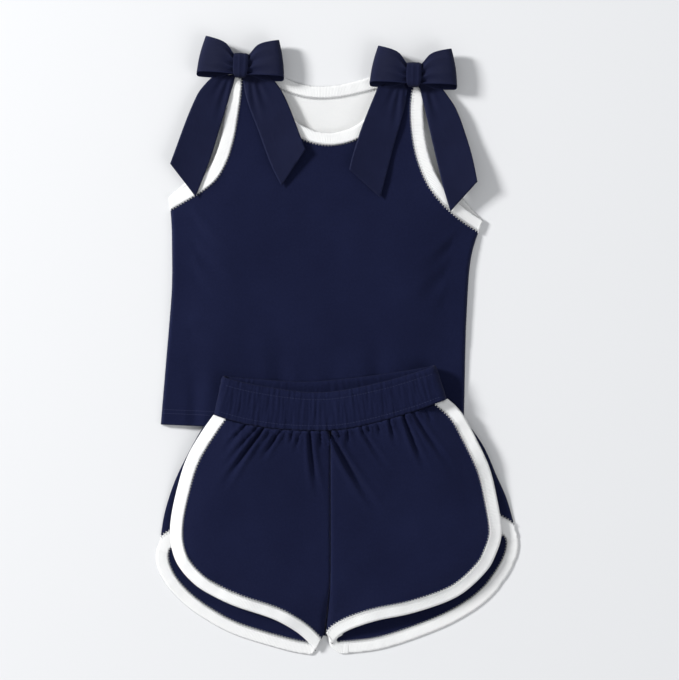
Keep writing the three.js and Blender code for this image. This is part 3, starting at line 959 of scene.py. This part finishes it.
def bow_tail(side, which):
    name = f"{side}_bow_{which}_tail"
    edges = edges_of(plan_of(name), TAIL_CELL)
    rim = np.vstack([edge[:-1] for edge in edges])
    place = bow_place(side)
    knot = place((0, 0, 0))[:2]
    root = min((e for e in edges if np.linalg.norm(e[0] - e[-1]) > 14 * MM),
               key=lambda e: np.linalg.norm(e.mean(axis=0) - knot))
    joint = next(j for j in frame["joints"] if j["name"] == f"{side}_{which}_tail_lift")
    out = -1 if root.mean(axis=0)[0] < knot[0] else 1
    ends = [place((out * x, y, 0))[:2] for x, y in IN_KNOT]
    first, last = root[0], root[-1]
    ends.sort(key=lambda p: math.atan2(p[1] - knot[1], p[0] - knot[0]))
    hidden = [ends[0], ends[-1]]
    if np.linalg.norm(hidden[0] - first) + np.linalg.norm(hidden[1] - last) > \
            np.linalg.norm(hidden[1] - first) + np.linalg.norm(hidden[0] - last):
        hidden.reverse()
    outline = []
    for edge in edges:
        if edge is root:
            for run in ([first, hidden[0]], hidden, [hidden[1], last]):
                outline.append(even_run(run, TAIL_CELL))
        else:
            outline.append(edge)
    points, faces = laid_out(outline, TAIL_CELL)
    height = lie_of(name, points)
    near = away(points, np.vstack([rim, rim[:1]]), 30 * MM)
    height = eased(height, faces, 40, np.where(near > 1 * MM, 1.0, 0.5))
    middle = root.mean(axis=0)
    into_knot = 1 - soft_step(np.linalg.norm(points - knot, axis=1), 5 * MM,
                              np.linalg.norm(middle - knot) * 1.1)
    height += into_knot * 0.9 * MM
    tip = points[np.argmax(np.linalg.norm(points - middle, axis=1))]
    down = (tip - middle) / np.linalg.norm(tip - middle)
    aside = np.array([down[1], -down[0]])
    pleats = []
    for offset, length, depth in ((-5.5, 46, 0.9), (1.0, 62, 1.1), (6.5, 34, 0.8)):
        start = knot * 0.45 + middle * 0.55 + aside * offset * 0.6 * MM
        pleats.append((start, start + (down * length + aside * offset * 1.5) * MM,
                       depth * MM, 2.4 * MM))
    height += drawn_in(points, pleats)
    along = (points - middle) @ down
    reach = np.linalg.norm(tip - middle)
    wave = np.sin(along / reach * 7.5 + (2 if out > 0 else 0)) + 1
    height += wave * 0.7 * MM * soft_step(along, 15 * MM, 60 * MM)
    across = (points - middle) @ aside
    height += 0.9 * MM * soft_step(along, 25 * MM, reach) * (across / (15 * MM)) ** 2
    flat = np.column_stack([along, across])
    side_lines = [e for e in edges if np.linalg.norm(e[0] - e[-1]) > 60 * MM]
    edge = np.min([away(points, line, 30 * MM) for line in side_lines], axis=0)
    piece = made(f"{name}_ribbon", np.column_stack([points, height]), faces, flat, edge,
                 navy_grosgrain, RIBBON)
    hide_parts(name)
    axis = Vector(joint["axis"]).normalized()
    ahead = Vector((axis.y, -axis.x, 0)) * (1 if axis.x < 0 else 1)
    if ahead.y > 0:
        ahead = -ahead
    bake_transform(piece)
    area = plan_area(points, faces)
    length = float(np.linalg.norm(tip - hidden[0]))


for side in ("left", "right"):
    for which in ("outer", "inner"):
        bow_tail(side, which)


# ---- Shorts ----
# Navy jersey again, two fronts and two backs joined by a centre seam. The fronts are gathered
# into the waistband and cut away in a curve at the sides, where the longer backs show.
#
# Folds from the waist seam: share of it from the left, length mm, lean degrees, depth mm.
WAIST_FOLDS = (
    (0.10, 39, -39, 1.1), (0.157, 64, -38, 1.2), (0.184, 84, -34, 1.9), (0.266, 42, -32, 1.4),
    (0.318, 18, -4, 1.0), (0.36, 26, -14, 0.8), (0.40, 79, 9, 1.5), (0.45, 22, 6, 1.1),
    (0.495, 111, 32, 1.9), (0.535, 20, 10, 0.9), (0.581, 20, 8, 1.1), (0.642, 60, 35, 1.0),
    (0.68, 15, 6, 0.9), (0.724, 16, 15, 1.0), (0.78, 31, 17, 1.2), (0.849, 68, 24, 1.9),
    (0.895, 80, 36, 1.3), (0.948, 20, 32, 1.0),
)
SEAM_GROOVE = 1.0 * MM
CROTCH_SINK = 3.5 * MM


def waist_of(edges):
    """The waist edge of a panel: the highest of its long edges."""
    return max((edge for edge in edges if len(edge) >= 20), key=lambda edge: edge[:, 1].mean())


def waist_folds():
    """The folds that start at the waist seam of the fronts."""
    line = np.vstack([waist_of(edges_of(plan_of(f"shorts_front_{side}"), 2 * MM))
                      for side in ("left", "right")])
    line = line[np.argsort(line[:, 0])]
    folds = []
    for share, length, lean, depth in WAIST_FOLDS:
        x = line[0, 0] + share * (line[-1, 0] - line[0, 0])
        start = np.array([x, np.interp(x, line[:, 0], line[:, 1])])
        way = np.array([math.sin(math.radians(lean)), -math.cos(math.radians(lean))])
        folds.append((start, start + way * length * MM, 2.3 * depth * MM,
                      (1.3 + 0.014 * length) * MM))
    return folds


def shorts_front(side, folds):
    node = f"shorts_front_{side}"
    points, faces, edges, height, near, free = bound_panel(node, [f"{side}_leg_front_binding"])
    waist = waist_of(edges)
    seam = min((e for e in edges if np.ptp(e[:, 1]) > 150 * MM), key=lambda e: np.ptp(e[:, 0]))
    height += drawn_in(points, folds) * free
    from_waist = away(points, waist, 60 * MM)
    ripple = np.array([noise.noise(Vector((x / (3.4 * MM), y / (40 * MM), 7.7)))
                       for x, y in points])
    height += ripple * 1.3 * MM * (1 - soft_step(from_waist, 1 * MM, 26 * MM)) * free
    from_seam = away(points, seam, 30 * MM)
    inner = soft_step(near, 0, 20 * MM)
    waves = rumple(points, 60 * MM, 9.3) * 1.2 + rumple(points, 24 * MM, 4.4) * 0.35
    height += inner * waves * MM
    height -= SEAM_GROOVE * np.exp(-(from_seam / (1.3 * MM)) ** 2)
    low = points[:, 1].min()
    at_crotch = 1 - soft_step(points[:, 1], low + 15 * MM, low + 62 * MM)
    height -= CROTCH_SINK * np.exp(-(from_seam / (4 * MM)) ** 2) * at_crotch
    laid_panel(f"{node}_cloth", points, height, faces, near, navy_jersey, JERSEY,
               "shorts", [node])


def shorts_back(side):
    node = f"shorts_back_{side}"
    points, faces, _, height, near, _ = bound_panel(node, [f"{side}_leg_back_binding"],
                                                    HIDDEN_CELL)
    laid_panel(f"{node}_cloth", points, height, faces, near, navy_jersey, JERSEY,
               "shorts", [node])


# The right leg's binding shows where it turns round the inside of the leg at the crotch: the
# middle line of the turn from the front strip's end to the back strip's, from the lowest
# corner of the back binding's box, x, y, z and width in mm.
LEG_TURN = ((6.72, 25.58, 4.1, 12.0), (1.92, 21.78, 3.9, 10.6), (-0.38, 15.58, 3, 8.4),
            (1.72, 9.78, 2, 8.6), (7.72, 6.28, 1.5, 10.4), (16.02, 6.58, 1.45, 11.4))
TURN_STEP = 0.8


def leg_turn():
    """The folded strip round the turn: a flattened tube of cloth, thinner where it is joined."""
    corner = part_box("right_leg_back_binding")[0] / MM
    path = even_run([(corner.x + x, corner.y + y, z, width) for x, y, z, width in LEG_TURN],
                    TURN_STEP)
    ahead = np.gradient(path, axis=0)[:, :2]
    ahead /= np.linalg.norm(ahead, axis=1)[:, None]
    around = 24
    vertices, flat, edge = [], [], []
    for i, ((x, y, z, width), way) in enumerate(zip(path, ahead)):
        share = i / (len(path) - 1)
        plump = 0.62 + 0.38 * math.sin(math.pi * share)
        for j in range(around):
            c, s = math.cos(math.tau * j / around), math.sin(math.tau * j / around)
            out = math.copysign(abs(c) ** 0.8, c) * width / 2
            rise = math.copysign(abs(s) ** 0.7, s) * BINDING_LAYERS / MM / 2 * plump
            rise += 0.12 * noise.noise(Vector((i / 4, c, 1.7)))
            vertices.append(((x - way[1] * out) * MM, (y + way[0] * out) * MM, (z + rise) * MM))
            flat.append((i * TURN_STEP * MM, j / around * 2 * width * MM))
            edge.append((width / 2 - abs(out)) * MM)
    faces = [(i * around + j, i * around + (j + 1) % around,
              (i + 1) * around + (j + 1) % around, (i + 1) * around + j)
             for i in range(len(path) - 1) for j in range(around)]
    piece = made("right_leg_inner_bound_edge", vertices, faces, flat, edge, white_rib,
                 BINDING_CLOTH)
    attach(piece, "shorts")


folds = waist_folds()
for side in ("left", "right"):
    for layer in ("back", "front"):
        bound_edge(f"{side}_leg_{layer}_binding", f"shorts_{layer}_{side}", "shorts")
    shorts_back(side)
    shorts_front(side, folds)
leg_turn()


# ---- Waistband ----
# A tunnel of navy jersey round a flat elastic, sewn to the waist of the shorts. The elastic
# gathers it into upright ripples, and two rows of stitches hold the elastic in its place.
WAIST_WALL = 4.6 * MM
BAND_WIDTH = 39 * MM
WAIST_ROWS = (0.17, 0.86)      # where the stitch rows run, from the top fold to the seam


def outer_edges(side):
    """The top and lower edge of the waistband's front (1) or back (-1), left to right."""
    low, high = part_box("waistband_casing")
    places = np.array([v.co for v in frame["nodes"]["waistband_casing"].data.vertices])
    apart = high.z - places[:, 2] if side > 0 else places[:, 2] - low.z
    places = np.unique(places[apart < 0.2 * MM][:, :2].round(5), axis=0)
    waist = (low.y + high.y) / 2
    lines = []
    for rows in (places[places[:, 1] > waist], places[places[:, 1] < waist]):
        rows = rows[np.argsort(rows[:, 0])]
        rows = rows[np.concatenate([[True], np.diff(rows[:, 0]) > 2 * MM])]
        lines.append(even_run(rows, 1 * MM))
    return lines


def at_share(line, share):
    spot = share * (len(line) - 1)
    return np.array([np.interp(spot, np.arange(len(line)), axis) for axis in line.T])


def waistband():
    low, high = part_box("waistband_casing")
    middle, radius = (low.z + high.z) / 2, (high.z - low.z) / 2
    front, back = outer_edges(1), outer_edges(-1)
    turn = [math.radians(angle) for angle in np.linspace(90, -90, 15)[1:-1]]
    stations = [(share, 1.0, 0.0, 0) for share in np.linspace(0, 1, 200)]
    stations += [(1, math.sin(angle), math.cos(angle), 1) for angle in turn]
    stations += [(share, -1.0, 0.0, 0) for share in np.linspace(1, 0, 160)]
    stations += [(0, -math.sin(angle), -math.cos(angle), -1) for angle in turn]
    depths = np.concatenate([[1, 1], np.linspace(1, 0, 24), [-0.02, -0.02],
                             np.linspace(0, 1, 16), [1, 1]])
    layers = [0.47, 0.22] + [0] * 24 + [0.3, 0.7] + [1] * 16 + [0.78, 0.53]
    vertices, flat, edge = [], [], []
    rows = [[], []]
    run = 0
    last = None
    for share, lift, out, way in stations:
        t = (lift + 1) / 2
        tops = at_share(back[0], share) * (1 - t) + at_share(front[0], share) * t
        lows = at_share(back[1], share) * (1 - t) + at_share(front[1], share) * t
        end = at_share(front[0], share) - at_share(front[0], 0.98 if way > 0 else 0.02)
        outward = end / np.linalg.norm(end) if way else np.zeros(2)
        tops = tops + outward * radius * abs(out)
        lows = lows + outward * radius * abs(out)
        run += 0 if last is None else np.linalg.norm(tops - last)
        last = tops
        for depth, layer in zip(depths, layers):
            ripple = noise.noise(Vector((run / (2.6 * MM), depth * 1.6, 3.1)))
            ripple += 0.5 * noise.noise(Vector((run / (1.2 * MM), depth * 2.5, 8.4)))
            held = sum(math.exp(-((depth - row) / 0.035) ** 2) for row in WAIST_ROWS)
            swell = 1.0 * ripple * (1 - 0.3 * held) - 0.55 * held + 0.2
            swell -= 0.7 * math.exp(-((1 - depth) / 0.05) ** 2)
            swell += -1.0 * math.exp(-(max(depth, 0) / 0.05) ** 2)
            inset = (WAIST_WALL - JERSEY) * layer - swell * MM * (1 - 1.6 * layer)
            r = radius - inset
            spot = tops + (lows - tops) * depth - outward * inset * abs(out)
            vertices.append((*spot, middle + lift * r))
            flat.append((run, (depth if layer < 0.5 else -depth) * BAND_WIDTH))
            edge.append(8 * MM)
            if layer == 0 and lift == 1.0:
                for row, line in zip(WAIST_ROWS, rows):
                    if abs(depth - row) < 0.5 / 23:
                        line.append((*spot, middle + lift * r + ROW_LIFT))
    faces = woven_grid(len(stations), len(depths), around=True)
    piece = made("waistband_tunnel", vertices, faces, flat, edge, navy_jersey, JERSEY)
    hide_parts("waistband_casing")
    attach(piece, "shorts")
    hem_rows["shorts"].extend(np.array(line) for line in rows)


waistband()


def woven_elastic(colour, painted_light_and_wear):
    """Woven elastic: lengthwise cords crossed by fine weft, with painted shade between the cords.
    """
    cord, weft_thread = 1.6 * MM, 0.9 * MM

    def dress(strand):
        place = strand.node("ShaderNodeTexCoord", out="Object")
        split = place.across()
        cords = split.out("Y").waves(cord)
        weft = split.waves(weft_thread)
        fibre = strand.blotches(place, 2000, 2)
        # Between the cords the web takes the darker colour: painted shade.
        shade = strand.tint(cords * 0.5 + fibre * 0.5, (*painted_light_and_wear, 1), (*colour, 1))
        return shade, cords * 0.6 + weft * 0.3 + fibre * 0.2, 0.3 * MM

    return dress


# The darker second colour is the painted shade between the elastic's cords.
elastic_web = finish("elastic_web", (0.78, 0.77, 0.73),
                     woven_elastic((0.80, 0.79, 0.75), (0.62, 0.61, 0.57)), 0.8)
dyed("waistband_elastic", elastic_web)


# ---- Stitching ----
# White cover stitch zigzags over the sewn edge of every binding, and navy rows of straight
# stitches run along the hem and the waistband. Each row is one thread on a drawn line.
def thread_lines(name, lines):
    curve = bpy.data.curves.new(name, "CURVE")
    curve.dimensions = "3D"
    for line in lines:
        spline = curve.splines.new("POLY")
        spline.points.add(len(line) - 1)
        spline.points.foreach_set("co", np.column_stack([line, np.ones(len(line))]).ravel())
    return placed(name, curve)


def stitch_tree(name, sizes, stitch, thread):
    """A tree of nodes that turns drawn lines into stitches of one thread."""
    tree = bpy.data.node_groups.new(name, "GeometryNodeTree")
    tree.interface.new_socket("Geometry", in_out="INPUT", socket_type="NodeSocketGeometry")
    for label, size in sizes.items():
        socket = tree.interface.new_socket(label, in_out="INPUT", socket_type="NodeSocketFloat")
        socket.default_value = size
    tree.interface.new_socket("Geometry", in_out="OUTPUT", socket_type="NodeSocketGeometry")
    given = Strand(tree).node("NodeGroupInput")
    sewn = stitch(given)
    real = given.node("GeometryNodeRealizeInstances", None, {"Geometry": sewn})
    dyed = given.node("GeometryNodeSetMaterial", None, {"Geometry": real, "Material": thread})
    end = tree.nodes.new("NodeGroupOutput")
    tree.links.new(dyed.socket, end.inputs["Geometry"])
    return tree


def cover_stitch(given):
    """One thread that crosses the line from side to side."""
    line = given.node("GeometryNodeResampleCurve", {"mode": "LENGTH"},
                      {"Curve": given, "Length": given.out("Half stitch")})
    number = given.node("GeometryNodeInputIndex")
    sign = number.math("MODULO", number, 2.0) * 2 - 1
    tangent = given.node("GeometryNodeInputTangent")
    aside = given.node("ShaderNodeVectorMath", {"operation": "CROSS_PRODUCT"},
                       {0: tangent, 1: (0, 0, 1)})
    shift = given.node("ShaderNodeVectorMath", {"operation": "SCALE"},
                       {0: aside, "Scale": sign * given.out("Half width")})
    sink = given.node("ShaderNodeCombineXYZ", None,
                      {"Z": (sign * 0.5 + 0.5) * given.out("Step down") * -1.0})
    moved = given.node("ShaderNodeVectorMath", {"operation": "ADD"}, {0: shift, 1: sink})
    sewn = given.node("GeometryNodeSetPosition", None, {"Geometry": line, "Offset": moved})
    round_thread = given.node("GeometryNodeCurvePrimitiveCircle", None,
                              {"Resolution": 5, "Radius": given.out("Thread") * 0.5})
    return given.node("GeometryNodeCurveToMesh", None,
                      {"Curve": sewn, "Profile Curve": round_thread, "Fill Caps": True})


def straight_stitch(given):
    """Short separate stitches along the line, each a small rounded bar."""
    line = given.node("GeometryNodeResampleCurve", {"mode": "LENGTH"},
                      {"Curve": given, "Length": given.out("Pitch")})
    bar = given.node("GeometryNodeMeshUVSphere", None, {"Segments": 6, "Rings": 4, "Radius": 0.5})
    tangent = given.node("GeometryNodeInputTangent")
    turn = given.node("FunctionNodeAlignRotationToVector", {"axis": "X"}, {"Vector": tangent})
    size = given.node("ShaderNodeCombineXYZ", None,
                      {"X": given.out("Stitch"), "Y": given.out("Thread"),
                       "Z": given.out("Thread")})
    return given.node("GeometryNodeInstanceOnPoints", None,
                      {"Points": line, "Instance": bar, "Rotation": turn, "Scale": size})


def sew(name, lines, tree, sizes, body):
    """Sews a tree's stitches along lines and leaves them as one plain mesh on a body."""
    drawn = thread_lines(f"{name}_line", lines)
    nodes = drawn.modifiers.new("stitches", "NODES")
    nodes.node_group = tree
    for item in tree.interface.items_tree:
        if item.in_out == "INPUT" and item.name in sizes:
            nodes[item.identifier] = sizes[item.name]
    bpy.context.view_layer.update()
    shown = drawn.evaluated_get(bpy.context.evaluated_depsgraph_get())
    mesh = bpy.data.meshes.new_from_object(shown)
    while mesh.materials[0] is None:
        mesh.materials.pop(index=0)
    drawn.modifiers.remove(nodes)
    bpy.data.objects.remove(drawn)
    mesh.shade_smooth()
    threads = placed(name, mesh)
    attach(threads, body)


ZIGZAG = {"Half stitch": 1.6 * MM, "Half width": 1.5 * MM, "Thread": 0.8 * MM,
          "Step down": 0.1 * MM}
ROW = {"Pitch": 3.0 * MM, "Stitch": 2.3 * MM, "Thread": 0.45 * MM}
zigzag_tree = stitch_tree("cover_stitch", ZIGZAG, cover_stitch, white_thread)
row_tree = stitch_tree("straight_stitch", ROW, straight_stitch, navy_thread)
for body in ("top", "shorts"):
    sew(f"{body}_binding_stitches", edge_stitches[body], zigzag_tree, ZIGZAG, body)
    sew(f"{body}_row_stitches", hem_rows[body], row_tree, ROW, body)
